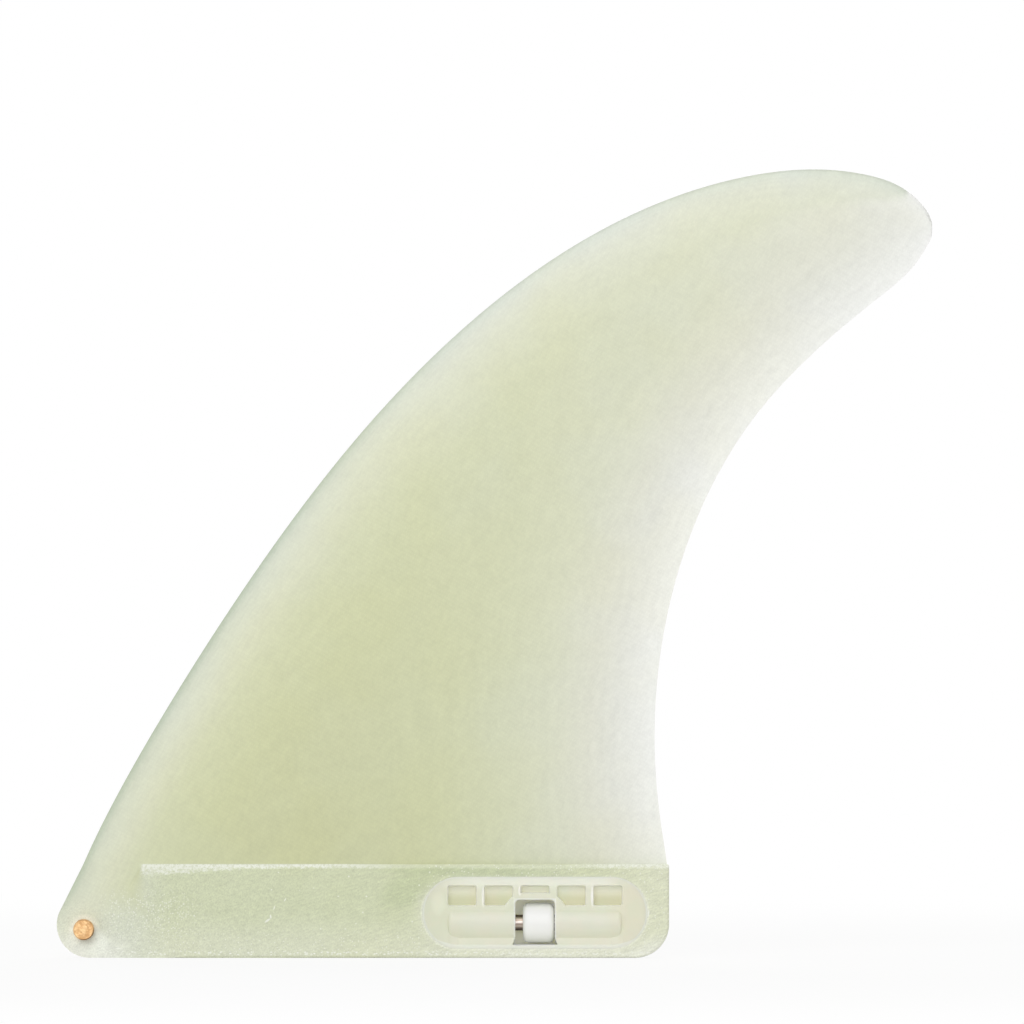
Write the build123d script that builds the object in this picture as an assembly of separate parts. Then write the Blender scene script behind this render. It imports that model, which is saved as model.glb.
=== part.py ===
from build123d import *
import math
import os

# Surfboard fin of solid glass laminate, with a clip-in tab along its foot.
# X runs from the nose of the tab to its tail, Y across the fin, Z up towards the tip.
# The origin is the middle of the tab's flat foot. Every size is in millimetres.

# Tab that goes into the slot of the fin box
tab_length = 156.8
tab_height = 24.0
tab_thickness = 9.3
nose_corner_radius = 8.45
tail_corner_radius = 8.7
nose_lean = 26.6  # degrees that the leading edge leans back where it leaves the tab
nose_strip_top_width = 15.0  # band behind the leading edge that is as thin as the blade
nose_strip_foot_width = 9.0
strip_bevel_top_width = 1.0
strip_bevel_foot_width = 30.0
shoulder_edge_height = 0.5  # part of the shoulder's slope that doesn't follow the step
shoulder_fall = 1.7  # how far the slope falls for each millimetre that it stands out
tab_edge_radius = 0.7

# Blade above the shoulder of the tab
blade_depth = 177.8
blade_reach = 67.9  # how far the tip stands behind the tail of the blade's root
tail_step = 0.5  # the blade's root ends this much ahead of the tab's tail
buried_lap = 0.1  # how far the tab's slopes run into the blade's skin
blade_side_step = 0.35  # how far the tab stands out of the blade at its thickest
blade_tip_thickness = 2.8
trailing_edge_thickness = 1.0
trailing_root_slope = 0.2  # how far the trailing edge starts out forward for each millimetre up
thickest_at = 0.36  # share of the chord
nose_fullness = 0.56
tail_fullness = 1.75
tip_roundness = 14

# Outline of the blade: (share of the way back to the tip, share of the blade's depth)
leading_outline = [
    (0.0386, 0.0961),
    (0.0873, 0.2015),
    (0.1472, 0.3195),
    (0.2179, 0.4480),
    (0.3017, 0.5837),
    (0.3943, 0.7100),
    (0.4991, 0.8239),
    (0.6172, 0.9179),
    (0.7351, 0.9766),
    (0.8335, 0.9993),
    (0.9117, 0.9956),
    (0.9526, 0.9813),
    (0.9808, 0.9598),
    (0.9950, 0.9381),
]
trailing_outline = [
    (-0.0229, 0.0553),
    (-0.0455, 0.1499),
    (-0.0391, 0.2557),
    (0.0070, 0.3703),
    (0.0946, 0.4806),
    (0.2247, 0.5837),
    (0.3987, 0.6762),
    (0.5930, 0.7503),
    (0.7751, 0.8088),
    (0.8854, 0.8434),
    (0.9621, 0.8780),
    (0.9884, 0.8953),
]
tip_up = 0.9163  # share of the blade's depth
section_stations = [0, 0.07, 0.15, 0.24, 0.34, 0.44, 0.54, 0.64, 0.74, 0.82]
tip_stations = [0.88, 0.925, 0.955, 0.975, 0.988, 0.9955, 0.999]
foil_stations = [0.004, 0.02, 0.06, 0.13, 0.24, 0.36, 0.52, 0.68, 0.83, 0.94, 1.0]
shoulder_stations = [0.0, 0.08, 0.11, 0.15, 0.2, 0.27]  # shares of the chord, ahead of the thickest place

# Brass cross pin at the nose of the tab
pin_diameter = 5.35
pin_end_length = 1.6  # how far each end stands out of the tab
pin_setback = 6.95  # pin axis behind the foremost point of the tab
pin_height = 7.25
pin_chamfer = 0.3
pin_bond = 0.01

# Moulded cartridge bonded into the tail of the tab
cartridge_length = 57.6
cartridge_foot_wall = 2.4  # laminate left below the cartridge
cartridge_shoulder_wall = 3.2  # laminate left above it
cartridge_tail_wall = 5.55  # laminate left behind it
cartridge_bond = 0.01
cartridge_rim = 0.8
barrel_bulge_height = 0.85  # how far the two barrels stand out of the tab's faces
barrel_gap = 0.24
barrel_end_wall = 6.4
barrel_end_radius = 1.2
trough_web_thickness = 8.0  # between the two troughs' floors
trough_end_wall = 6.4
trough_ramp_length = 3.0
pocket_count = 5
pocket_end_wall = 6.25
pocket_top_wall = 2.05
pocket_barrel_lap = 1.3  # how far the pockets reach down beside the barrels
pocket_web_thickness = 5.0  # between two pockets' floors
pocket_corner_radius = 0.8
pocket_draft = 7.0  # degrees
pocket_rounding = 0.4  # most of a pocket's height that the radius of its corners takes
pocket_lean_share = 0.9  # most of that radius by which its walls lean in
rib_width = 1.55
arch_side_wall = 3.55
arch_top_wall = 1.5

# Sliding lock, its shaft, and the window in the near half where they show
shaft_diameter = 4.1
shaft_end_wall = 5.85
shaft_seat_gap = 0.02
shaft_end_gap = 0.15
shaft_chamfer = 0.4
slider_length = 8.0
slider_diameter = 10.25
slider_edge_radius = 1.5
slider_travel_length = 1.8
slider_end_gap = 0.15
slider_bore_gap = 0.1
slider_back_gap = 0.2
chamber_depth = 3.6  # distance of the chamber's back wall from the middle plane
window_foot_gap = 0.4
window_top_gap = 0.85
window_corner_radius = 1.1
window_flare_width = 0.7
window_flare_height = 1.9

# Places worked out from the sizes
beyond = 20.0  # how far cutting tools run past what they cut
half_tab = tab_thickness / 2
nose_x = -tab_length / 2
tail_x = tab_length / 2
lean = math.radians(nose_lean)
blade_tail_x = tail_x - tail_step
tip_x = blade_tail_x + blade_reach
blade_root_thickness = tab_thickness - 2 * blade_side_step
pin_x = nose_x + pin_setback
pin_length = tab_thickness + 2 * pin_end_length
cartridge_height = tab_height - cartridge_foot_wall - cartridge_shoulder_wall
cartridge_x = tail_x - cartridge_tail_wall - cartridge_length / 2
cartridge_z = cartridge_foot_wall + cartridge_height / 2
barrel_radius = half_tab + barrel_bulge_height
shaft_z = cartridge_foot_wall + cartridge_rim + barrel_gap + barrel_radius
shaft_length = cartridge_length - 2 * shaft_end_wall - 2 * shaft_end_gap
window_width = slider_length + slider_travel_length + 2 * slider_end_gap
window_foot_z = shaft_z - slider_diameter / 2 - window_foot_gap
window_top_z = shaft_z + slider_diameter / 2 + window_top_gap
pocket_top_z = cartridge_foot_wall + cartridge_height - pocket_top_wall
pocket_foot_z = shaft_z + barrel_radius - pocket_barrel_lap
pocket_height = pocket_top_z - pocket_foot_z
pocket_depth = barrel_radius - pocket_web_thickness / 2
pocket_corner = min(pocket_corner_radius, pocket_rounding * pocket_height)
pocket_row = cartridge_length - 2 * pocket_end_wall
pocket_pitch = (pocket_row + rib_width) / pocket_count


def leading_x(z):
    """X of the straight leading edge at height z, tangent to the corner of the tab's nose."""
    corner_x = nose_x + nose_corner_radius
    return corner_x - nose_corner_radius / math.cos(lean) + math.tan(lean) * (z - nose_corner_radius)


def across(outline, y_low, y_high):
    """Solid of a flat outline drawn in X and Z, between two places across the fin."""
    plane = Plane(origin=(0, y_high, 0), x_dir=(1, 0, 0), z_dir=(0, -1, 0))
    return extrude(plane * outline, amount=y_high - y_low)


def along(radius, length, x_middle, z_middle):
    """Round bar that lies along the fin, centred across it."""
    return Pos(x_middle, 0, z_middle) * Rot(0, 90, 0) * Cylinder(radius, length)


def edge_points(root_x, outline):
    """Points of one edge of the blade, from the shoulder to the tip."""
    shares = [(0, 0), *outline, (1, tip_up)]
    return [(root_x + back * (tip_x - root_x), 0, tab_height + up * blade_depth) for back, up in shares]


def blade_edges():
    """Leading and trailing edge of the blade, which meet upright at the tip."""
    leading_edge = Spline(
        edge_points(leading_x(tab_height), leading_outline),
        tangents=[(math.tan(lean), 0, 1), (0, 0, -1)],
    )
    trailing_edge = Spline(
        edge_points(blade_tail_x, trailing_outline),
        tangents=[(-trailing_root_slope, 0, 1), (0, 0, 1)],
    )
    return leading_edge, trailing_edge


def foil_half(share, thickness, edge):
    """Half the foil's thickness at a share of its chord."""
    if share < thickest_at:
        rise = (1 - (1 - share / thickest_at) ** 2) ** nose_fullness
    else:
        rise = 1 - ((share - thickest_at) / (1 - thickest_at)) ** tail_fullness
    return (thickness / 2 - edge * share) * rise + edge * share


def foil_section(front, rear, station):
    """Foil between a point of the leading edge and a point of the trailing edge."""
    tip_taper = math.sqrt(1 - station**tip_roundness)
    thickness = (blade_root_thickness + (blade_tip_thickness - blade_root_thickness) * station) * tip_taper
    edge = trailing_edge_thickness / 2 * tip_taper
    chord = rear - front
    side = [(front + chord * share, foil_half(share, thickness, edge)) for share in foil_stations]
    near = [point + Vector(0, -half, 0) for point, half in side]
    far = [point + Vector(0, half, 0) for point, half in side]
    skin = Spline([*reversed(near), front, *far])
    return Face(Wire([skin, Line(skin @ 1, skin @ 0)]))


def blade():
    """Blade above the shoulder, lofted through foils that turn with its sweep."""
    leading_edge, trailing_edge = blade_edges()
    by_length = PositionMode.PARAMETER
    sections = [
        foil_section(
            leading_edge.position_at(station, by_length),
            trailing_edge.position_at(station, by_length),
            station,
        )
        for station in section_stations + tip_stations
    ]
    return loft(sections), sections[0]


def tab_outline():
    """Side outline of the tab, just ahead of the leading edge so that only the corners are cut."""
    lead = 0.05
    points = [
        (leading_x(tab_height) - lead, tab_height),
        (leading_x(0) - lead, 0),
        (tail_x, 0),
        (tail_x, tab_height),
    ]
    outline = make_face(Polyline(*points, close=True))
    nose, tail = outline.vertices().sort_by(Axis.Y)[:2].sort_by(Axis.X)
    outline = fillet(nose, nose_corner_radius)
    tail = outline.vertices().sort_by_distance((tail_x, 0))[0]
    return fillet(tail, tail_corner_radius)


def shoulder_cutter(side):
    """Slope from the blade's skin at the shoulder out to the tab's face, high where the step is deep."""
    root_x = leading_x(tab_height)
    chord = blade_tail_x - root_x
    past_tail = 1.2
    sections = []
    for share in (*shoulder_stations, thickest_at, past_tail):
        skin = foil_half(min(share, thickest_at), blade_root_thickness, trailing_edge_thickness / 2)
        step = half_tab - skin
        edge_z = tab_height - shoulder_fall * step - shoulder_edge_height
        corners = [
            (half_tab - step - buried_lap, tab_height),
            (half_tab - step - buried_lap, tab_height + beyond),
            (half_tab + beyond, tab_height + beyond),
            (half_tab + beyond, edge_z),
            (half_tab, edge_z),
        ]
        plane = Plane(origin=(root_x + share * chord, 0, 0), x_dir=(0, side, 0), z_dir=(side, 0, 0))
        sections.append(plane * make_face(Polyline(*corners, close=True)))
    return loft(sections, ruled=True)


def tab_slab():
    """Thick part of the tab, with its front bevel, rounded rim and the slope along its shoulder."""
    chord = blade_tail_x - leading_x(tab_height)
    foot = (0, nose_strip_foot_width, strip_bevel_foot_width)
    top = (tab_height, nose_strip_top_width, strip_bevel_top_width)
    layers = []
    for z, strip, bevel in (foot, top):
        front = leading_x(z) + strip
        buried = foil_half(strip / chord, blade_root_thickness, trailing_edge_thickness / 2) - buried_lap
        corners = [
            (front, -buried),
            (front + bevel, -half_tab),
            (tail_x, -half_tab),
            (tail_x, half_tab),
            (front + bevel, half_tab),
            (front, buried),
        ]
        layers.append(Pos(0, 0, z) * make_face(Polyline(*corners, close=True)))
    slab = loft(layers, ruled=True) & across(tab_outline(), -beyond, beyond)
    rim = slab.edges().filter_by(lambda edge: on_rim(edge @ 0) and on_rim(edge @ 1))
    slab = fillet(rim, tab_edge_radius)
    return slab - shoulder_cutter(-1) - shoulder_cutter(1)


def on_rim(point):
    """Whether a point lies on a long edge of the tab's foot, its tail or the corner between them."""
    near = 1e-4
    low = point.Z < tail_corner_radius + near or point.X > tail_x - near
    return abs(abs(point.Y) - half_tab) < near and low


def cartridge_outline(inset=0.0):
    """Outline of the cartridge, with straight long sides and half-round ends."""
    slot = SlotOverall(cartridge_length - 2 * inset, cartridge_height - 2 * inset)
    return Pos(cartridge_x, cartridge_z) * slot


def fin_laminate():
    """Blade and tab, one laminated panel."""
    upper, root = blade()
    lower = extrude(root, amount=tab_height / math.cos(lean), dir=(-math.sin(lean), 0, -math.cos(lean)))
    lower &= across(tab_outline(), -beyond, beyond)
    body = upper + lower + tab_slab()
    body -= across(cartridge_outline(-cartridge_bond), -beyond, beyond)
    body -= across(Pos(pin_x, pin_height) * Circle(pin_diameter / 2 + pin_bond), -beyond, beyond)
    return body


def front_pin():
    pin = across(Pos(pin_x, pin_height) * Circle(pin_diameter / 2), -pin_length / 2, pin_length / 2)
    return chamfer(pin.edges().filter_by(GeomType.CIRCLE), pin_chamfer)


def window_outline():
    """Window of the sliding lock, with a flare at its foot."""
    half = window_width / 2
    flare_z = window_foot_z + window_flare_height
    points = [
        (half + window_flare_width, window_foot_z),
        (half, flare_z),
        (half, window_top_z),
        (-half, window_top_z),
        (-half, flare_z),
        (-half - window_flare_width, window_foot_z),
    ]
    outline = make_face(Polyline(*points, close=True))
    top = outline.vertices().sort_by(Axis.Y)[-2:]
    return Pos(cartridge_x, 0) * fillet(top, window_corner_radius)


def arch_outline():
    """Solid wall kept around the window, round at its sides and flat on top."""
    below = Rectangle(cartridge_length, 2 * tab_height, align=(Align.CENTER, Align.MAX))
    round_wall = Pos(cartridge_x, shaft_z) * Circle(window_width / 2 + arch_side_wall)
    return round_wall & Pos(cartridge_x, window_top_z + arch_top_wall) * below


def pocket_outlines():
    """Row of relief pockets above the barrels, less what the arch over the window takes of them."""
    outlines = []
    for place in range(pocket_count):
        middle_x = cartridge_x + (place - (pocket_count - 1) / 2) * pocket_pitch
        pocket = Rectangle(pocket_pitch - rib_width, pocket_height)
        placed = Pos(middle_x, (pocket_top_z + pocket_foot_z) / 2) * fillet(pocket.vertices(), pocket_corner)
        outlines += (placed - arch_outline()).faces()
    return outlines


def pocket_taper():
    """Draft of the pockets' walls in degrees, low enough for the floors to keep round corners."""
    steepest = math.degrees(math.atan(pocket_lean_share * pocket_corner / pocket_depth))
    return min(pocket_draft, steepest)


def barrels():
    """The two barrels as one bar, before the window is cut."""
    bar = along(barrel_radius, cartridge_length - 2 * barrel_end_wall, cartridge_x, shaft_z)
    bar = fillet(bar.edges().filter_by(GeomType.CIRCLE), barrel_end_radius)
    return bar & across(cartridge_outline(cartridge_rim + barrel_gap), -beyond, beyond)


def cartridge_block():
    """Whole cartridge before it is split down its middle plane."""
    plate = across(cartridge_outline(), -half_tab, half_tab)
    trough_end = cartridge_length / 2 - trough_end_wall
    trough_foot_z = cartridge_foot_wall + cartridge_rim
    for side in (-1, 1):
        trough = Polyline(
            (cartridge_x - trough_end + trough_ramp_length, side * trough_web_thickness / 2),
            (cartridge_x + trough_end - trough_ramp_length, side * trough_web_thickness / 2),
            (cartridge_x + trough_end, side * half_tab),
            (cartridge_x + trough_end, side * beyond),
            (cartridge_x - trough_end, side * beyond),
            (cartridge_x - trough_end, side * half_tab),
            close=True,
        )
        height = shaft_z - trough_foot_z
        cutter = Pos(0, 0, trough_foot_z) * extrude(make_face(trough), amount=height, dir=(0, 0, 1))
        cutter &= across(cartridge_outline(cartridge_rim), -beyond, beyond)
        plate -= cutter - across(arch_outline(), 0, beyond)
    block = plate + barrels()
    for outline in pocket_outlines():
        for side in (-1, 1):
            mouth = Plane(origin=(0, side * barrel_radius, 0), x_dir=(1, 0, 0), z_dir=(0, -1, 0)) * outline
            block -= extrude(mouth, pocket_depth, dir=(0, -side, 0), taper=pocket_taper())
    seat = along(shaft_diameter / 2 + shaft_seat_gap, shaft_length + 2 * shaft_end_gap, cartridge_x, shaft_z)
    return block - seat


def cartridge_halves():
    """Near half with the window, and far half with the chamber behind the lock."""
    block = cartridge_block()
    room = Rectangle(2 * tab_length, 2 * tab_height)
    near = block & across(room, -beyond, 0)
    far = block & across(room, 0, beyond)
    window = window_outline()
    return near - across(window, -beyond, 0), far - across(window, 0, chamber_depth)


def lock_shaft():
    bar = along(shaft_diameter / 2, shaft_length, cartridge_x, shaft_z)
    return chamfer(bar.edges().filter_by(GeomType.CIRCLE), shaft_chamfer)


def lock_slider():
    """Round-faced lock that slides on the shaft, with a flat back that keeps it from turning."""
    middle_x = cartridge_x + window_width / 2 - slider_end_gap - slider_length / 2
    body = along(slider_diameter / 2, slider_length, middle_x, shaft_z)
    body = fillet(body.edges().filter_by(GeomType.CIRCLE), slider_edge_radius)
    back = chamber_depth - slider_back_gap
    body -= across(Rectangle(2 * tab_length, 4 * tab_height), back, back + beyond)
    return body - along(shaft_diameter / 2 + slider_bore_gap, slider_length + beyond, middle_x, shaft_z)


def main():
    near_half, far_half = cartridge_halves()
    nodes = {
        "fin_laminate": fin_laminate(),
        "front_pin": front_pin(),
        "cartridge_window_half": near_half,
        "cartridge_plain_half": far_half,
        "lock_shaft": lock_shaft(),
        "lock_slider": lock_slider(),
    }
    os.makedirs("parts", exist_ok=True)
    for name, shape in nodes.items():
        export_step(shape, os.path.join("parts", name + ".step"))


main()
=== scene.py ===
import math
import bpy
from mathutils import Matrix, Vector


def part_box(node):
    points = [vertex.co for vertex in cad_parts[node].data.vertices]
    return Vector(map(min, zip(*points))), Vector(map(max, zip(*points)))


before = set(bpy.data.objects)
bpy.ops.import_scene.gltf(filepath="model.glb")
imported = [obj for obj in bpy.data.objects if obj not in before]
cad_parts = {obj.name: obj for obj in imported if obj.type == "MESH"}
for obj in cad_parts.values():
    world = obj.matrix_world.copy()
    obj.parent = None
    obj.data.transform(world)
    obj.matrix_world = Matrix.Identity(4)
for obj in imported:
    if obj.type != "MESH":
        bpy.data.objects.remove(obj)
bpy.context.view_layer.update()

print("frame loaded:", len(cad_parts), "pieces")

millimetre = 0.001


# Node helpers, shared by all finishes

def toLinear(colour):
    # display colour 0 to 255 into the linear values that the sockets take
    parts = [value / 255 for value in colour]
    return tuple(p / 12.92 if p <= 0.04045 else ((p + 0.055) / 1.055) ** 2.4 for p in parts) + (1.0,)


def fill(tree, socket, value):
    if isinstance(value, bpy.types.NodeSocket):
        tree.links.new(value, socket)
    elif isinstance(value, (tuple, list)) and len(value) == 3 and socket.type == "RGBA":
        socket.default_value = toLinear(value)
    else:
        socket.default_value = value


def calc(tree, operation, *values):
    node = tree.nodes.new("ShaderNodeMath")
    node.operation = operation
    for socket, value in zip(node.inputs, values):
        fill(tree, socket, value)
    return node.outputs[0]


def chain(tree, operation, values):
    result = values[0]
    for value in values[1:]:
        result = calc(tree, operation, result, value)
    return result


def times(tree, *values):
    return chain(tree, "MULTIPLY", values)


def total(tree, *values):
    return chain(tree, "ADD", values)


def most(tree, *values):
    return chain(tree, "MAXIMUM", values)


def minus(tree, first, second):
    return calc(tree, "SUBTRACT", first, second)


def gapTo(tree, value, middle):
    return calc(tree, "ABSOLUTE", minus(tree, value, middle))


def stretch(tree, value, low, high, newLow=0.0, newHigh=1.0, smooth=True):
    node = tree.nodes.new("ShaderNodeMapRange")
    node.interpolation_type = "SMOOTHSTEP" if smooth else "LINEAR"
    for socket, number in zip(node.inputs, (value, low, high, newLow, newHigh)):
        fill(tree, socket, number)
    return node.outputs[0]


def blendColour(tree, factor, first, second, mode="MIX"):
    node = tree.nodes.new("ShaderNodeMix")
    node.data_type = "RGBA"
    node.blend_type = mode
    fill(tree, node.inputs["Factor"], factor)
    fill(tree, node.inputs[6], first)
    fill(tree, node.inputs[7], second)
    return node.outputs[2]


def tinted(tree, colour, tint):
    return blendColour(tree, 1.0, colour, tint, mode="MULTIPLY")


def colourSteps(tree, value, steps):
    # steps are (place, display colour), in rising order of place
    low, high = steps[0][0], steps[-1][0]
    node = tree.nodes.new("ShaderNodeValToRGB")
    bar = node.color_ramp
    for index, (place, colour) in enumerate(steps):
        share = (place - low) / (high - low)
        stop = bar.elements[index] if index < 2 else bar.elements.new(share)
        stop.position = share
        stop.color = toLinear(colour)
    fill(tree, node.inputs[0], stretch(tree, value, low, high, smooth=False))
    return node.outputs[0]


def placeInPiece(tree, turn=(0, 0, 0), scale=(1, 1, 1)):
    # position in millimetres along axes of the piece that are turned, each divided by its stretch
    source = tree.nodes.new("ShaderNodeTexCoord")
    node = tree.nodes.new("ShaderNodeMapping")
    node.vector_type = "TEXTURE"
    node.inputs["Rotation"].default_value = [math.radians(angle) for angle in turn]
    node.inputs["Scale"].default_value = [part * millimetre for part in scale]
    fill(tree, node.inputs["Vector"], source.outputs["Object"])
    return node.outputs[0]


def axes(tree, vector):
    node = tree.nodes.new("ShaderNodeSeparateXYZ")
    fill(tree, node.inputs[0], vector)
    return node.outputs


def noise(tree, vector, size, detail=2.0, roughness=0.5):
    # soft noise from 0 to 1, with patches about as large as size in millimetres
    node = tree.nodes.new("ShaderNodeTexNoise")
    fill(tree, node.inputs["Vector"], vector)
    node.inputs["Scale"].default_value = 1 / size
    node.inputs["Detail"].default_value = detail
    node.inputs["Roughness"].default_value = roughness
    return node.outputs["Fac"]


def evenNoise(tree, vector, size, detail=2.0, roughness=0.5):
    # the same noise, as much below 0 as above it
    return minus(tree, noise(tree, vector, size, detail, roughness), 0.5)


def cells(tree, vector, size, output):
    node = tree.nodes.new("ShaderNodeTexVoronoi")
    fill(tree, node.inputs["Vector"], vector)
    node.inputs["Scale"].default_value = 1 / size
    return node.outputs[output]


def dots(tree, place, size, share, radius):
    # round specks in a random share of the cells of a wandering grid, each with a bright core
    core = radius * 0.45
    distance = cells(tree, place, size, "Distance")
    draw = axes(tree, cells(tree, place, size, "Color"))[0]
    return times(tree, stretch(tree, distance, radius, core), calc(tree, "LESS_THAN", draw, share))


def wave(tree, value, pitch):
    # sine of a place in millimetres, from 0 to 1, one turn for each pitch
    turned = times(tree, value, 2 * math.pi / pitch)
    return calc(tree, "MULTIPLY_ADD", calc(tree, "SINE", turned), 0.5, 0.5)


def facingSide(tree):
    # how squarely the surface faces to the side of the fin, from 0 to 1
    source = tree.nodes.new("ShaderNodeTexCoord")
    return calc(tree, "ABSOLUTE", axes(tree, source.outputs["Normal"])[1])


def leaning(tree, direction):
    # how far the surface leans along a direction of the piece, from -1 to 1
    source = tree.nodes.new("ShaderNodeTexCoord")
    node = tree.nodes.new("ShaderNodeVectorMath")
    node.operation = "DOT_PRODUCT"
    fill(tree, node.inputs[0], source.outputs["Normal"])
    node.inputs[1].default_value = direction
    return node.outputs["Value"]


def outlineDistance(tree, place, nodeName):
    # distance in millimetres outside the round-ended side outline of a piece
    x, _, z = axes(tree, place)
    low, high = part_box(nodeName)
    middle = (low + high) / 2 / millimetre
    radius = (high.z - low.z) / 2 / millimetre
    straight = (high.x - low.x) / 2 / millimetre - radius
    aside = most(tree, minus(tree, gapTo(tree, x, middle.x), straight), 0.0)
    above = gapTo(tree, z, middle.z)
    squares = total(tree, calc(tree, "POWER", aside, 2.0), calc(tree, "POWER", above, 2.0))
    return minus(tree, calc(tree, "SQRT", squares), radius)


def spot(tree, place, x, z, length, width, turn=0.0):
    # soft-edged oval on both sides of the fin, 1 in its middle and 0 outside
    outline, core = 1.0, 0.1
    placeX, _, placeZ = axes(tree, place)
    along, across = math.cos(math.radians(turn)), math.sin(math.radians(turn))
    offX = minus(tree, placeX, x)
    offZ = minus(tree, placeZ, z)
    run = total(tree, times(tree, offX, along * 2 / length), times(tree, offZ, across * 2 / length))
    rise = minus(tree, times(tree, offZ, along * 2 / width), times(tree, offX, across * 2 / width))
    away = total(tree, times(tree, run, run), times(tree, rise, rise))
    return stretch(tree, away, outline, core)


def relief(tree, height, depth, strength):
    node = tree.nodes.new("ShaderNodeBump")
    node.inputs["Distance"].default_value = depth * millimetre
    node.inputs["Strength"].default_value = strength
    fill(tree, node.inputs["Height"], height)
    return node.outputs[0]


def newFinish(name, settings):
    # a principled shader with the fixed values of settings on its own sockets
    material = bpy.data.materials.new(name)
    material.use_nodes = True
    tree = material.node_tree
    shader = tree.nodes["Principled BSDF"]
    for key, value in settings.items():
        shader.inputs[key].default_value = value
    return material, tree, shader


def dress(nodeName, material):
    piece = bpy.data.objects[nodeName]
    if not piece.material_slots:
        piece.data.materials.append(material)
    for slot in piece.material_slots:
        slot.material = material


# Glass laminate: the blade
# In these dictionaries a pair of places is where an effect starts and where it is full. Two more
# values beside the pair are its share at each place. A noise is its size, detail and roughness.

blade = {
    # colour by half the thickness in millimetres, behind and ahead of the thickest line: the tint deepens
    # where thick, and the near white where thin is painted light showing through
    "rearColours": [
        (0.3, (250, 250, 246)),
        (0.55, (246, 247, 241)),
        (0.85, (240, 241, 233)),
        (1.2, (232, 233, 222)),
        (1.6, (227, 228, 211)),
        (2.2, (220, 223, 198)),
        (2.9, (214, 218, 186)),
        (3.6, (209, 213, 173)),
        (4.3, (205, 208, 165)),
    ],
    "frontColours": [
        (0.3, (196, 207, 184)),
        (0.75, (205, 213, 193)),
        (1.1, (213, 218, 197)),
        (1.6, (218, 222, 198)),
        (2.2, (217, 220, 191)),
        (2.9, (212, 216, 179)),
        (3.6, (208, 212, 170)),
        (4.3, (205, 208, 164)),
    ],
    # the front colours show where the surface leans this way, less so high on the blade
    "leadingDirection": (-0.8, 0.0, 0.6),
    "frontLean": (-0.012, 0.03),
    "frontHeight": (190.0, 95.0, 0.65, 1.0),
    # clouds in the depth of colour: size, depth and the half thickness that they start at
    "cloudSize": 30,
    "cloudDepth": 0.5,
    "cloudFrom": (0.5, 3.0),
    # lines of cut plies, how far they wander and the patches that they show in
    "plyPitch": 0.21,
    "plyWander": 0.14,
    "plyStrength": 0.024,
    "plyPatchSize": 11.0,
    "plyPatch": (0.35, 0.65),
    "wanderNoise": (4.0, 3.0, 0.6),
    # cloth threads: pitch one way and the other, turn in degrees, bend, mean, strength and relief
    "warpPitch": 0.66,
    "weftPitch": 0.99,
    "threadTurn": 28,
    "threadBend": 0.9,
    "threadMean": 0.25,
    "threadStrength": 0.025,
    "threadRelief": (0.02, 0.4),
    # rise, length, size and strength of the streaks and of the softer clouds below them
    "mottle": (60, 1.5, 0.9, 0.15),
    "clouds": (40, 1.5, 3.2, 0.09),
    "hueSize": 38.0,
    "hueShare": (0.4, 0.6),
    "warmth": (1.0, 0.998, 0.975, 1.0),
    "coolness": (1.0, 1.002, 1.02, 1.0),
    # painted shade along the rounded edges, where they turn away from the side: a dark green line in front
    # and a grey one behind
    "leadingEdgeShade": (200, 211, 192),
    "trailingEdgeShade": (228, 229, 221),
    "edgeShadeFacing": (0.7, 0.35),
    "edgeShadeHeight": (20.0, 60.0, 0.15, 0.75),
    "edgeShadeLean": (-0.2, 0.3),
    "shader": {"Roughness": 0.36, "IOR": 1.5, "Coat Weight": 0.2, "Coat Roughness": 0.15},
}


def bladeColour(tree, place, half, lean):
    # the colour deepens with the thickness, and stays greener towards the leading edge
    drift = evenNoise(tree, place, blade["cloudSize"])
    cloudy = times(tree, stretch(tree, half, *blade["cloudFrom"]), blade["cloudDepth"])
    depth = calc(tree, "MULTIPLY_ADD", drift, cloudy, half)
    rear = colourSteps(tree, depth, blade["rearColours"])
    front = colourSteps(tree, depth, blade["frontColours"])
    height = axes(tree, place)[2]
    ahead = times(tree, stretch(tree, lean, *blade["frontLean"]),
                  stretch(tree, height, *blade["frontHeight"]))
    return blendColour(tree, ahead, rear, front)


def plyLines(tree, place, half, wander):
    # cut plies come to the surface as lines of equal thickness
    layered = calc(tree, "MULTIPLY_ADD", wander, blade["plyWander"], half)
    lines = minus(tree, wave(tree, layered, blade["plyPitch"]), 0.5)
    shown = stretch(tree, noise(tree, place, blade["plyPatchSize"]), *blade["plyPatch"])
    return times(tree, lines, shown, blade["plyStrength"])


def clothThreads(tree, wander):
    # two sets of threads across each other, a little bent
    x, _, z = axes(tree, placeInPiece(tree, turn=(0, blade["threadTurn"], 0)))
    bend = times(tree, wander, blade["threadBend"])
    warp = wave(tree, total(tree, x, bend), blade["warpPitch"])
    weft = wave(tree, total(tree, z, bend), blade["weftPitch"])
    return times(tree, warp, weft)


def streaks(tree, rise, length, size, strength):
    # fine streaks that rise to the right by an angle in degrees, brighter and darker by strength
    along = placeInPiece(tree, turn=(0, -rise, 0), scale=(length, 1, 1))
    return times(tree, evenNoise(tree, along, size, roughness=0.6), strength)


# Glass laminate: the tab

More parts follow.
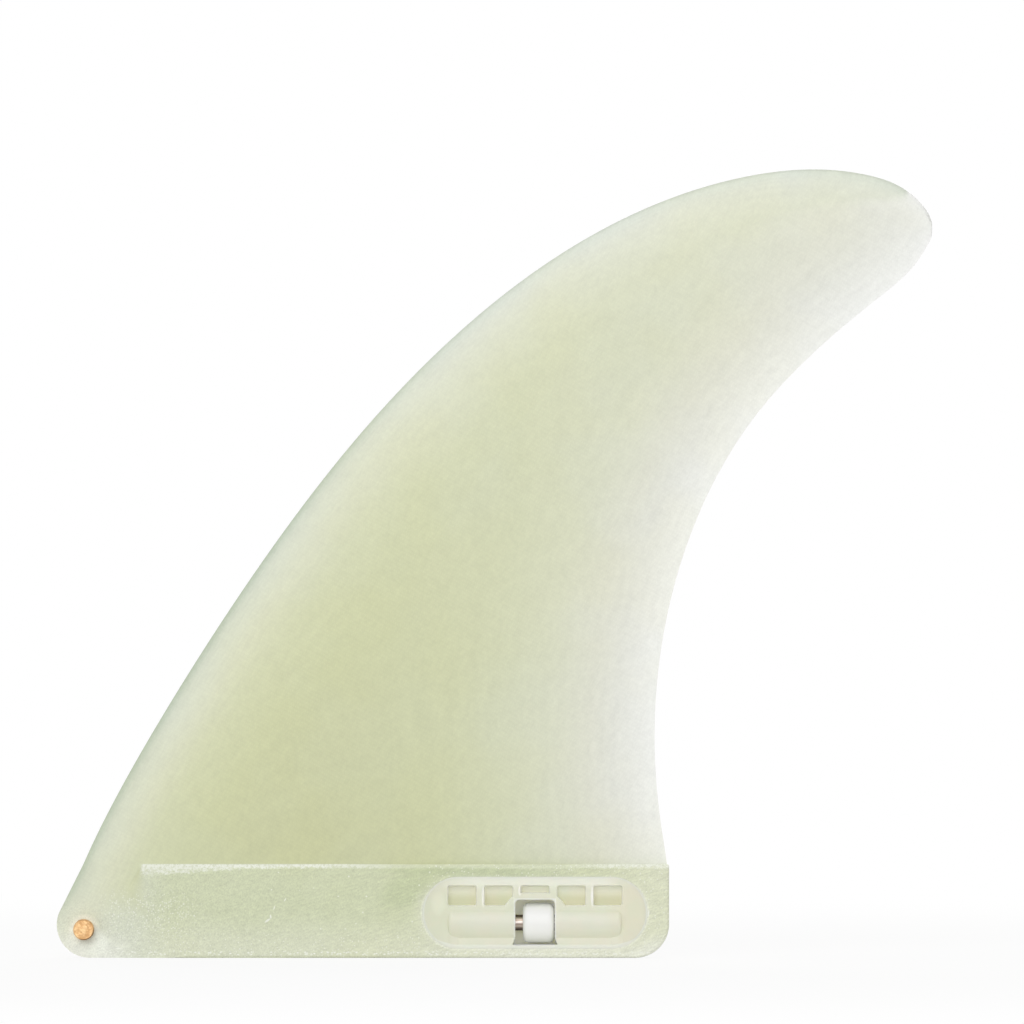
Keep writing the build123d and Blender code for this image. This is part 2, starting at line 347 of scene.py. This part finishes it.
tab = {
    "top": 24.0,
    # the tab's finish starts under its top, where it is thick, low or at the very tail
    "under": (0.15, -0.25),
    "thick": (2.9, 4.2),
    "low": (19.0, 9.0),
    "tailEnd": (75.8, 77.0),
    "colour": (211, 217, 183),
    # paler towards the foot, the tail and the nose, in patches of this size and share
    "paleColour": (224, 227, 204),
    "footFade": (14.0, 1.0),
    "tailFade": (57.0, 76.0),
    "noseFade": (-50.0, -95.0),
    "fadeShare": 0.8,
    "patchSize": 7.0,
    "patchShare": 0.35,
    "noseShade": (221, 225, 209),
    "noseShadeFrom": (-48.0, -60.0, 0.0, 0.6),
    # whiter along the foot, below the cartridge and ahead of the bevel
    "whiteColour": (238, 240, 228),
    "whiteTail": (8.0, 45.0),
    "whiteNose": (-56.0, -68.0),
    "whiteFoot": (8.0, 1.0),
    "whiteShare": 0.9,
    # fibres towards the tail and blotches towards the nose: rise, length, size and strength
    "fibres": (17, 6.0, 0.5, 0.42),
    "strands": (52, 1.5, 0.35, 0.4),
    "blotches": (-30, 1.6, 0.9, 0.34),
    "flecks": (60, 1.3, 0.35, 0.72),
    "fibresFrom": (-50.0, 50.0, 0.35, 1.0),
    # layers of cloth seen edge-on at the foot and the tail
    "layerStretch": (14, 1, 14),
    "layerSize": 0.5,
    "layerStrength": 0.35,
    "layerFacing": (0.5, 0.2),
    # greener above and ahead of the cartridge: place along the tab, height, length, width and turn
    "greenColour": (188, 199, 158),
    "greenShare": 0.6,
    "greenAbove": (28.0, 21.9, 54.0, 3.4, -1.0),
    "greenAhead": (12.0, 18.0, 20.0, 11.0, 25.0),
    "greenAheadShare": 0.75,
    # pale resin round the cartridge, by distance from it and by height
    "resinReach": (3.5, 0.4),
    "resinHeight": (21.0, 15.0, 0.1, 0.5),
    # bond line round the cartridge and the pin
    "bondColour": (242, 244, 230),
    "bondReach": (0.7, 0.21),
    "bondHeight": (20.5, 14.0, 0.15, 1.0),
    "pinBondReach": (1.7, 0.4),
    "bondShare": 0.55,
    # pale resin round the pin, and painted light below and behind it that lifts the pin's cast shadow: place
    # along the tab, height, length, width and turn
    "pinShadowLift": (-70.3, 4.4, 13.0, 9.0, -20.0),
    "pinShadowLiftColour": (250, 254, 241),
    "pinShadowLiftShare": 0.9,
}


def tabColour(tree, place):
    x, _, z = axes(tree, place)
    fade = most(tree, stretch(tree, z, *tab["footFade"]), stretch(tree, x, *tab["tailFade"]),
                stretch(tree, x, *tab["noseFade"]))
    patchy = evenNoise(tree, place, tab["patchSize"], detail=3.0)
    fade = total(tree, times(tree, fade, tab["fadeShare"]), times(tree, patchy, tab["patchShare"]))
    colour = blendColour(tree, fade, tab["colour"], tab["paleColour"])
    colour = blendColour(tree, stretch(tree, x, *tab["noseShadeFrom"]), colour, tab["noseShade"])
    ends = most(tree, stretch(tree, x, *tab["whiteTail"]), stretch(tree, x, *tab["whiteNose"]))
    white = times(tree, ends, stretch(tree, z, *tab["whiteFoot"]), tab["whiteShare"])
    return blendColour(tree, white, colour, tab["whiteColour"])


def surfaceTexture(tree, place, half, inTab, threads, wander):
    # brighter and darker than 1 by the plies, streaks, fibres, layers and threads
    plies = plyLines(tree, place, half, wander)
    cloth = times(tree, minus(tree, threads, blade["threadMean"]), blade["threadStrength"])
    above = total(tree, plies, total(tree, streaks(tree, *blade["mottle"]), streaks(tree, *blade["clouds"])))
    fibres = total(tree, streaks(tree, *tab["fibres"]), streaks(tree, *tab["strands"]))
    blotches = total(tree, streaks(tree, *tab["blotches"]), streaks(tree, *tab["flecks"]))
    towardsTail = stretch(tree, axes(tree, place)[0], *tab["fibresFrom"])
    towardsNose = minus(tree, 1.0, towardsTail)
    below = total(tree, times(tree, fibres, towardsTail), times(tree, blotches, towardsNose))
    grain = total(tree, times(tree, above, minus(tree, 1.0, inTab)), times(tree, below, inTab))
    stacked = placeInPiece(tree, scale=tab["layerStretch"])
    layers = evenNoise(tree, stacked, tab["layerSize"], roughness=0.6)
    cut = times(tree, stretch(tree, facingSide(tree), *tab["layerFacing"]), inTab)
    return total(tree, grain, times(tree, layers, tab["layerStrength"], cut), cloth, 1.0)


def bonds(tree, place, colour):
    # resin and bond lines round the cartridge and the pin, and painted light that lifts the pin's cast shadow
    z = axes(tree, place)[2]
    gap = outlineDistance(tree, place, "cartridge_plain_half")
    resin = times(tree, stretch(tree, gap, *tab["resinReach"]), stretch(tree, z, *tab["resinHeight"]))
    colour = blendColour(tree, resin, colour, tab["paleColour"])
    pinGap = outlineDistance(tree, place, "front_pin")
    ring = times(tree, stretch(tree, gap, *tab["bondReach"]), stretch(tree, z, *tab["bondHeight"]))
    ring = times(tree, most(tree, ring, stretch(tree, pinGap, *tab["pinBondReach"])), tab["bondShare"])
    colour = blendColour(tree, ring, colour, tab["bondColour"])
    # painted light over the pin's cast shadow
    shadowLift = times(tree, spot(tree, place, *tab["pinShadowLift"]), tab["pinShadowLiftShare"])
    return blendColour(tree, shadowLift, colour, tab["pinShadowLiftColour"])


# Glass laminate: painted highlight on the slope between the blade and the tab

slope = {
    # painted highlight where the slope catches the light, broken into paler specks and greener gaps
    "colour": (240, 243, 230),
    "shade": (217, 221, 198),
    "brokenNoise": (0.6, 3.0, 0.7),
    "broken": (0.36, 0.56),
    # its depth along the tab, its ragged lower line, where it ends at the nose and at its top
    "depth": (-58.0, -20.0, 4.2, 1.7),
    "depthFrom": 0.1,
    "raggedNoise": (0.7, 3.0, 0.7),
    "raggedGain": 1.6,
    "raggedStart": -0.15,
    "softness": (-0.1, 0.3),
    "noseEnd": (-57.4, -56.2),
    "topEnd": (0.15, -0.1),
    # its strength ahead of the middle and at the very tail
    "front": (16.0, -14.0, 0.05, 0.95),
    "tail": (48.0, 66.0, 0.0, 0.85),
}


def shoulderHighlight(tree, place):
    x, _, z = axes(tree, place)
    down = minus(tree, tab["top"] + slope["depthFrom"], z)
    down = calc(tree, "DIVIDE", down, stretch(tree, x, *slope["depth"]))
    grain = noise(tree, place, *slope["raggedNoise"])
    grain = calc(tree, "MULTIPLY_ADD", grain, slope["raggedGain"], slope["raggedStart"])
    start, stop = [tab["top"] + part for part in slope["topEnd"]]
    slopeHighlight = times(tree, stretch(tree, minus(tree, grain, down), *slope["softness"]),
                  stretch(tree, x, *slope["noseEnd"]), stretch(tree, z, start, stop))
    return times(tree, slopeHighlight, most(tree, stretch(tree, x, *slope["front"]), stretch(tree, x, *slope["tail"])))


# Glass laminate: air in the resin

air = {
    "colour": (248, 250, 240),
    "share": 0.6,
    # thick at the nose bevel: size, share of cells and radius of the dots, and where they are
    "bevelDots": (0.56, 0.55, 0.46),
    "bevelAlong": [(-70.0, -63.0), (-36.0, -50.0)],
    "bevelHeight": [(20.0, 13.0), (4.0, 6.5)],
    # in a row of dashes above the foot
    "rowDots": (0.5, 0.75, 0.5),
    "rowStretch": (1.7, 1, 1),
    "rowHeight": 1.2,
    "rowReach": (0.7, 0.3),
    "rowShare": 1.5,
    # loose, towards the tail and the foot, and a few anywhere in the tab
    "looseDots": (0.55, 0.2, 0.42),
    "looseTail": (8.0, 20.0),
    "looseFoot": (9.0, 4.0),
    "fewDots": (0.9, 0.02, 0.34),
    # white marks: place along the tab, height, length, width and turn in degrees
    "markShare": 0.8,
    "marks": [
        (-24.4, 9.6, 2.2, 0.7, 35),
        (-23.6, 10.6, 1.4, 0.6, 100),
        (-22.7, 12.8, 1.6, 0.35, 70),
        (-19.9, 14.9, 1.3, 0.35, 60),
        (-62.6, 2.4, 2.0, 0.5, 0),
        (71.9, 8.6, 1.6, 0.6, 60),
        (73.1, 11.4, 2.4, 0.5, 80),
    ],
}


def glints(tree, place, inTab):
    x, _, z = axes(tree, place)
    bevel = [stretch(tree, x, *reach) for reach in air["bevelAlong"]]
    bevel += [stretch(tree, z, *reach) for reach in air["bevelHeight"]]
    thick = times(tree, dots(tree, place, *air["bevelDots"]), times(tree, *bevel))
    dashes = dots(tree, placeInPiece(tree, scale=air["rowStretch"]), *air["rowDots"])
    near = stretch(tree, gapTo(tree, z, air["rowHeight"]), *air["rowReach"])
    row = times(tree, dashes, near, air["rowShare"])
    ends = most(tree, stretch(tree, x, *air["looseTail"]), stretch(tree, z, *air["looseFoot"]))
    loose = times(tree, dots(tree, place, *air["looseDots"]), times(tree, inTab, ends))
    few = times(tree, dots(tree, place, *air["fewDots"]), inTab)
    shown = times(tree, most(tree, thick, row, loose, few), air["share"])
    for mark in air["marks"]:
        shown = most(tree, shown, times(tree, spot(tree, place, *mark), air["markShare"]))
    return shown


def makeLaminate():
    material, tree, shader = newFinish("glassLaminate", blade["shader"])
    place = placeInPiece(tree)
    x, y, z = axes(tree, place)
    half = calc(tree, "ABSOLUTE", y)
    lean = leaning(tree, blade["leadingDirection"])
    wander = evenNoise(tree, place, *blade["wanderNoise"])
    threads = clothThreads(tree, wander)

    solid = most(tree, stretch(tree, half, *tab["thick"]),
                 most(tree, stretch(tree, z, *tab["low"]), stretch(tree, x, *tab["tailEnd"])))
    start, stop = [tab["top"] + part for part in tab["under"]]
    inTab = times(tree, stretch(tree, z, start, stop), solid)
    colour = blendColour(tree, inTab, bladeColour(tree, place, half, lean), tabColour(tree, place))

    ahead = times(tree, spot(tree, place, *tab["greenAhead"]), tab["greenAheadShare"])
    green = times(tree, most(tree, spot(tree, place, *tab["greenAbove"]), ahead), tab["greenShare"])
    colour = blendColour(tree, green, colour, tab["greenColour"])
    colour = bonds(tree, place, colour)

    colour = tinted(tree, colour, surfaceTexture(tree, place, half, inTab, threads, wander))
    hue = stretch(tree, noise(tree, place, blade["hueSize"]), *blade["hueShare"])
    colour = tinted(tree, colour, blendColour(tree, hue, blade["coolness"], blade["warmth"]))

    # painted highlight on the slope between the blade and the tab
    slopeHighlight = shoulderHighlight(tree, place)
    broken = stretch(tree, noise(tree, place, *slope["brokenNoise"]), *slope["broken"])
    colour = blendColour(tree, slopeHighlight, colour, blendColour(tree, broken, slope["shade"], slope["colour"]))
    colour = blendColour(tree, glints(tree, place, inTab), colour, air["colour"])

    # painted shade along the rounded edges, green in front and grey behind
    edge = times(tree, stretch(tree, facingSide(tree), *blade["edgeShadeFacing"]),
                 stretch(tree, z, *blade["edgeShadeHeight"]))
    forward = stretch(tree, lean, *blade["edgeShadeLean"])
    line = blendColour(tree, forward, blade["trailingEdgeShade"], blade["leadingEdgeShade"])
    fill(tree, shader.inputs["Base Color"], blendColour(tree, edge, colour, line))
    fill(tree, shader.inputs["Normal"], relief(tree, threads, *blade["threadRelief"]))
    return material


# Brass cross pin

pin = {
    "colour": (232, 195, 146),
    "shade": (200, 156, 108),
    "patchNoise": (1.1, 3.0, 0.6),
    "patch": (0.35, 0.65),
    "grainNoise": (0.4, 2.0, 0.6),
    # painted shade, darker on the side that faces down and towards the tail
    "pinShadeColour": (120, 92, 66),
    "pinShadeDirection": (0.6, 0.0, -0.8),
    "pinShade": (0.25, 0.6, 0.0, 0.8),
    "relief": (0.04, 0.6),
    "shader": {"Metallic": 1.0, "Roughness": 0.3},
}


def makeBrass():
    material, tree, shader = newFinish("pinBrass", pin["shader"])
    place = placeInPiece(tree)
    patches = stretch(tree, noise(tree, place, *pin["patchNoise"]), *pin["patch"])
    grain = noise(tree, place, *pin["grainNoise"])
    colour = blendColour(tree, patches, pin["shade"], pin["colour"])
    # painted shade on the side that faces down and towards the tail
    pinShade = stretch(tree, leaning(tree, pin["pinShadeDirection"]), *pin["pinShade"])
    fill(tree, shader.inputs["Base Color"], blendColour(tree, pinShade, colour, pin["pinShadeColour"]))
    fill(tree, shader.inputs["Normal"], relief(tree, total(tree, patches, grain), *pin["relief"]))
    return material


# Milky plastic of the cartridge

cartridge = {
    # colour by distance from the middle plane: pockets, faces and barrels, darker and greener on the pocket
    # floors as painted shade deep in the pockets
    "depthColours": [
        (0.0, (248, 244, 230)),
        (2.4, (216, 215, 184)),
        (2.9, (221, 221, 192)),
        (3.6, (232, 232, 210)),
        (4.65, (231, 232, 213)),
        (5.5, (234, 233, 219)),
    ],
    # painted light in the pockets, where shade falls: brighter at their tops and on their walls, and brighter
    # along the top of the cartridge; drop below the cartridge's top
    "pocketTop": (241, 241, 223),
    "pocketTopDrop": (6.0, 3.0),
    "pocketDepth": (4.6, 4.4),
    "headColour": (245, 246, 231),
    "headDrop": (3.6, 1.6),
    "wallHighlight": (255, 255, 246),
    "wallDrop": (8.4, 8.0),
    "wallFacing": (0.9, 0.6),
    # painted light: paler towards the foot, where less light falls
    "footLight": (238, 237, 220),
    "footFade": (9.0, 4.0),
    # greener at the nose end of the flat faces and warmer at their tail end
    "noseColour": (227, 229, 207),
    "noseFade": (30.0, 17.0),
    "tailColour": (232, 229, 207),
    "tailFade": (60.0, 68.0),
    "endDepth": (4.3, 4.6),
    "endShare": 0.75,
    # pale cloud in the nose end: place along the tab, height, length and width
    "cloud": (19.3, 14.0, 4.5, 7.5),
    "cloudColour": (240, 242, 222),
    "cloudShare": 0.6,
    # painted highlights on the edges ahead of some pockets: place along the tab, height, thickness and length
    "edgeHighlights": [(30.85, 15.8, 1.1, 6.4), (40.2, 17.2, 1.1, 3.2), (58.75, 15.8, 1.1, 6.4)],
    # window round the lock: room ahead, behind, below and above, and its pale edge, a painted highlight
    "windowRoom": (1.95, 0.15, 0.4, 0.85),
    "windowEdge": (0.5, 0.2),
    # chamber behind it, painted near white as painted light against the shade in it, from the joint between
    # the halves to its back wall
    "chamberLight": (255, 250, 234),
    "chamberFront": 0.02,
    "chamberBack": 3.8,
    "chamberEdge": (0.1, 0.0),
    # share of light that sinks in, on the outside and in the window
    "milkiness": (0.3, 1.0),
    "milkEdge": (0.5, 0.0),
    # painted highlight along the pale rim, wider along the foot and fainter along the top
    "rimHighlight": (246, 248, 236),
    "rimWidth": 0.55,
    "rimFoot": (5.0, 3.5, 1.0, 2.2),
    "rimEdge": (0.0, 0.3),
    "rimHeight": (20.5, 14.0, 0.6, 0.8),
    "cloudSize": 5.0,
    "cloudHue": (0.35, 0.65),
    "warmth": (1.008, 0.997, 0.985, 1.0),
    "coolness": (0.98, 1.0, 0.98, 1.0),
    "grainSize": 0.8,
    "relief": (0.03, 0.4),
    "shader": {
        "Roughness": 0.4,
        "IOR": 1.5,
        "Subsurface Radius": (0.003, 0.003, 0.0025),
        "Subsurface Scale": 1.0,
    },
}


def windowDistance(tree, place):
    # distance in millimetres outside the window, seen from the side
    x, _, z = axes(tree, place)
    low, high = [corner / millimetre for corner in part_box("lock_slider")]
    ahead, behind, below, above = cartridge["windowRoom"]
    sides = []
    for value, start, stop in ((x, low.x - ahead, high.x + behind), (z, low.z - below, high.z + above)):
        sides.append(minus(tree, gapTo(tree, value, (start + stop) / 2), (stop - start) / 2))
    return most(tree, *sides)


def pocketPaintedLight(tree, colour, z, half):
    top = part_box("cartridge_plain_half")[1].z / millimetre

    def below(reach):
        return stretch(tree, z, *[top - drop for drop in cartridge[reach]])

    # painted light in the pockets, brighter near their tops and on their walls, where shade falls
    lit = times(tree, below("pocketTopDrop"), stretch(tree, half, *cartridge["pocketDepth"]))
    colour = blendColour(tree, lit, colour, cartridge["pocketTop"])
    colour = blendColour(tree, below("headDrop"), colour, cartridge["headColour"])
    wall = times(tree, stretch(tree, facingSide(tree), *cartridge["wallFacing"]), below("wallDrop"))
    return blendColour(tree, wall, colour, cartridge["wallHighlight"])


def faceColour(tree, colour, place, x, z, half):
    # painted light towards the foot
    colour = blendColour(tree, stretch(tree, z, *cartridge["footFade"]), colour, cartridge["footLight"])
    flat = stretch(tree, half, *cartridge["endDepth"])
    for end in ("nose", "tail"):
        share = times(tree, stretch(tree, x, *cartridge[end + "Fade"]), flat, cartridge["endShare"])
        colour = blendColour(tree, share, colour, cartridge[end + "Colour"])
    cloudy = times(tree, spot(tree, place, *cartridge["cloud"]), cartridge["cloudShare"])
    colour = blendColour(tree, cloudy, colour, cartridge["cloudColour"])
    # painted highlights on the edges ahead of some pockets
    for edgeHighlight in cartridge["edgeHighlights"]:
        colour = blendColour(tree, spot(tree, place, *edgeHighlight), colour, cartridge["wallHighlight"])
    return colour


def rimHighlightShare(tree, place, z):
    border = outlineDistance(tree, place, "cartridge_plain_half")
    width = stretch(tree, z, *cartridge["rimFoot"])
    inner = total(tree, border, times(tree, width, cartridge["rimWidth"]))
    return times(tree, stretch(tree, inner, *cartridge["rimEdge"]), stretch(tree, z, *cartridge["rimHeight"]))


def makeMilkyPlastic():
    material, tree, shader = newFinish("milkyPlastic", cartridge["shader"])
    place = placeInPiece(tree)
    x, y, z = axes(tree, place)
    half = calc(tree, "ABSOLUTE", y)
    colour = colourSteps(tree, half, cartridge["depthColours"])
    colour = pocketPaintedLight(tree, colour, z, half)
    colour = faceColour(tree, colour, place, x, z, half)

    # painted highlight on the window's edge and painted light in the chamber behind it, not on the closed
    # back of the plain half
    window = windowDistance(tree, place)
    reached = calc(tree, "LESS_THAN", y, cartridge["chamberBack"])
    # painted highlight along the window's edge
    edge = times(tree, stretch(tree, window, *cartridge["windowEdge"]), reached)
    colour = blendColour(tree, edge, colour, cartridge["rimHighlight"])
    # painted light in the chamber, against the shade behind the window
    behind = calc(tree, "GREATER_THAN", y, cartridge["chamberFront"])
    chamber = times(tree, stretch(tree, window, *cartridge["chamberEdge"]), behind, reached)
    colour = blendColour(tree, chamber, colour, cartridge["chamberLight"])
    milk = times(tree, stretch(tree, window, *cartridge["milkEdge"]), reached)
    fill(tree, shader.inputs["Subsurface Weight"], stretch(tree, milk, 0.0, 1.0, *cartridge["milkiness"]))

    # painted highlight along the rim of the cartridge
    colour = blendColour(tree, rimHighlightShare(tree, place, z), colour, cartridge["rimHighlight"])
    clouds = noise(tree, place, cartridge["cloudSize"], detail=3.0)
    hue = stretch(tree, clouds, *cartridge["cloudHue"])
    colour = tinted(tree, colour, blendColour(tree, hue, cartridge["coolness"], cartridge["warmth"]))
    fill(tree, shader.inputs["Base Color"], colour)
    grain = noise(tree, place, cartridge["grainSize"], detail=3.0)
    fill(tree, shader.inputs["Normal"], relief(tree, grain, *cartridge["relief"]))
    return material


# Steel shaft

shaft = {
    # painted reflections round the bar: dark and bright bands from its underside to its top
    "reflectionBands": [
        (-1.0, (120, 105, 95)),
        (-0.75, (150, 134, 122)),
        (-0.45, (190, 178, 166)),
        (-0.15, (160, 142, 130)),
        (0.05, (225, 216, 210)),
        (0.3, (150, 134, 122)),
        (0.6, (196, 186, 172)),
        (0.85, (130, 112, 102)),
    ],
    # drawing lines along the bar: stretch, size, tone and relief
    "lineStretch": (10, 1, 1),
    "lineSize": 0.25,
    "lineTone": (0.3, 0.7, 0.9, 1.05),
    "relief": (0.01, 0.3),
    "shader": {"Metallic": 1.0, "Roughness": 0.35},
}


def makeSteel():
    material, tree, shader = newFinish("shaftSteel", shaft["shader"])
    along = placeInPiece(tree, scale=shaft["lineStretch"])
    drawn = noise(tree, along, shaft["lineSize"], detail=3.0)
    upwards = (0.0, 0.0, 1.0)
    # painted reflections in bands, by how the surface faces up or down
    colour = colourSteps(tree, leaning(tree, upwards), shaft["reflectionBands"])
    tone = stretch(tree, drawn, *shaft["lineTone"])
    fill(tree, shader.inputs["Base Color"], tinted(tree, colour, tone))
    fill(tree, shader.inputs["Normal"], relief(tree, drawn, *shaft["relief"]))
    return material


# White plastic lock

slider = {
    "colour": (254, 254, 253),
    "shade": (251, 251, 250),
    "cloudSize": 2.5,
    "grainSize": 0.3,
    "relief": (0.01, 0.3),
    "shader": {
        "Roughness": 0.4,
        "IOR": 1.5,
        "Sheen Weight": 0.5,
        "Sheen Roughness": 0.5,
    },
}


def makeWhitePlastic():
    material, tree, shader = newFinish("whitePlastic", slider["shader"])
    place = placeInPiece(tree)
    cloud = noise(tree, place, slider["cloudSize"])
    fill(tree, shader.inputs["Base Color"], blendColour(tree, cloud, slider["colour"], slider["shade"]))
    grain = noise(tree, place, slider["grainSize"])
    fill(tree, shader.inputs["Normal"], relief(tree, grain, *slider["relief"]))
    return material


dress("fin_laminate", makeLaminate())
dress("front_pin", makeBrass())
milky = makeMilkyPlastic()
dress("cartridge_window_half", milky)
dress("cartridge_plain_half", milky)
dress("lock_shaft", makeSteel())
dress("lock_slider", makeWhitePlastic())
print("finishes on")


# Studio: pale floor, white surroundings, soft lamps and a long lens

studio = {
    "floorSize": 30.0,
    "floorColour": (250, 250, 249),
    # white to the camera far from the fin, less near it, so that a faint shadow stays
    "whiteShare": (0.88, 1.0),
    "shadowReach": (0.25, 0.7),
    "worldLevel": 0.48,
    "lamps": {
        "frontLamp": {"place": (-0.35, -2.3, 1.3), "power": 30.0, "size": 2.2},
        "rearLamp": {"place": (0.35, 2.3, 1.3), "power": 30.0, "size": 2.2},
    },
    "lens": 600.0,
    "sensor": 36.0,
    "clipEnd": 50.0,
    "frameWidth": 0.26235,
    "frameMiddle": (0.03817, 0.0, 0.11414),
}


def seenDirectly(tree):
    # 1 for the camera and for what shows in gloss or through glass, 0 for light on the object
    path = tree.nodes.new("ShaderNodeLightPath")
    rays = ("Is Camera Ray", "Is Glossy Ray", "Is Transmission Ray")
    return most(tree, *[path.outputs[ray] for ray in rays])


def makeFloor():
    size = studio["floorSize"] / 2
    mesh = bpy.data.meshes.new("floor")
    corners = [(-size, -size, 0), (size, -size, 0), (size, size, 0), (-size, size, 0)]
    mesh.from_pydata(corners, [], [(0, 1, 2, 3)])
    floor = bpy.data.objects.new("floor", mesh)
    bpy.context.scene.collection.objects.link(floor)
    material = bpy.data.materials.new("paleFloor")
    material.use_nodes = True
    tree = material.node_tree
    tree.nodes.clear()
    plain = tree.nodes.new("ShaderNodeBsdfDiffuse")
    plain.inputs["Color"].default_value = toLinear(studio["floorColour"])
    white = tree.nodes.new("ShaderNodeEmission")
    white.inputs["Color"].default_value = (1, 1, 1, 1)
    x, y, _ = axes(tree, placeInPiece(tree))
    reach = calc(tree, "SQRT", total(tree, calc(tree, "POWER", x, 2.0), calc(tree, "POWER", y, 2.0)))
    near, far = [part / millimetre for part in studio["shadowReach"]]
    share = stretch(tree, reach, near, far, *studio["whiteShare"])
    mixed = tree.nodes.new("ShaderNodeMixShader")
    fill(tree, mixed.inputs[0], times(tree, seenDirectly(tree), share))
    fill(tree, mixed.inputs[1], plain.outputs[0])
    fill(tree, mixed.inputs[2], white.outputs[0])
    output = tree.nodes.new("ShaderNodeOutputMaterial")
    fill(tree, output.inputs["Surface"], mixed.outputs[0])
    mesh.materials.append(material)


def makeWorld():
    world = bpy.data.worlds.new("studioWhite")
    world.use_nodes = True
    tree = world.node_tree
    glow = tree.nodes["Background"]
    glow.inputs["Color"].default_value = (1, 1, 1, 1)
    level = stretch(tree, seenDirectly(tree), 0.0, 1.0, studio["worldLevel"], 1.0, smooth=False)
    fill(tree, glow.inputs["Strength"], level)
    bpy.context.scene.world = world


def makeLamp(name, place, power, size):
    light = bpy.data.lights.new(name, "AREA")
    light.energy = power
    light.size = size
    lamp = bpy.data.objects.new(name, light)
    lamp.location = place
    aim = Vector(studio["frameMiddle"]) - Vector(place)
    lamp.rotation_euler = aim.to_track_quat("-Z", "Y").to_euler()
    bpy.context.scene.collection.objects.link(lamp)


def makeCamera():
    camera = bpy.data.cameras.new("camera")
    camera.lens = studio["lens"]
    camera.sensor_width = studio["sensor"]
    camera.clip_end = studio["clipEnd"]
    holder = bpy.data.objects.new("camera", camera)
    distance = studio["frameWidth"] * studio["lens"] / studio["sensor"]
    x, y, z = studio["frameMiddle"]
    holder.location = (x, y - distance, z)
    holder.rotation_euler = (math.radians(90), 0, 0)
    bpy.context.scene.collection.objects.link(holder)
    bpy.context.scene.camera = holder


makeFloor()
makeWorld()
for name, lamp in studio["lamps"].items():
    makeLamp(name, **lamp)
makeCamera()
bpy.context.scene.view_settings.view_transform = "Standard"
print("studio set")
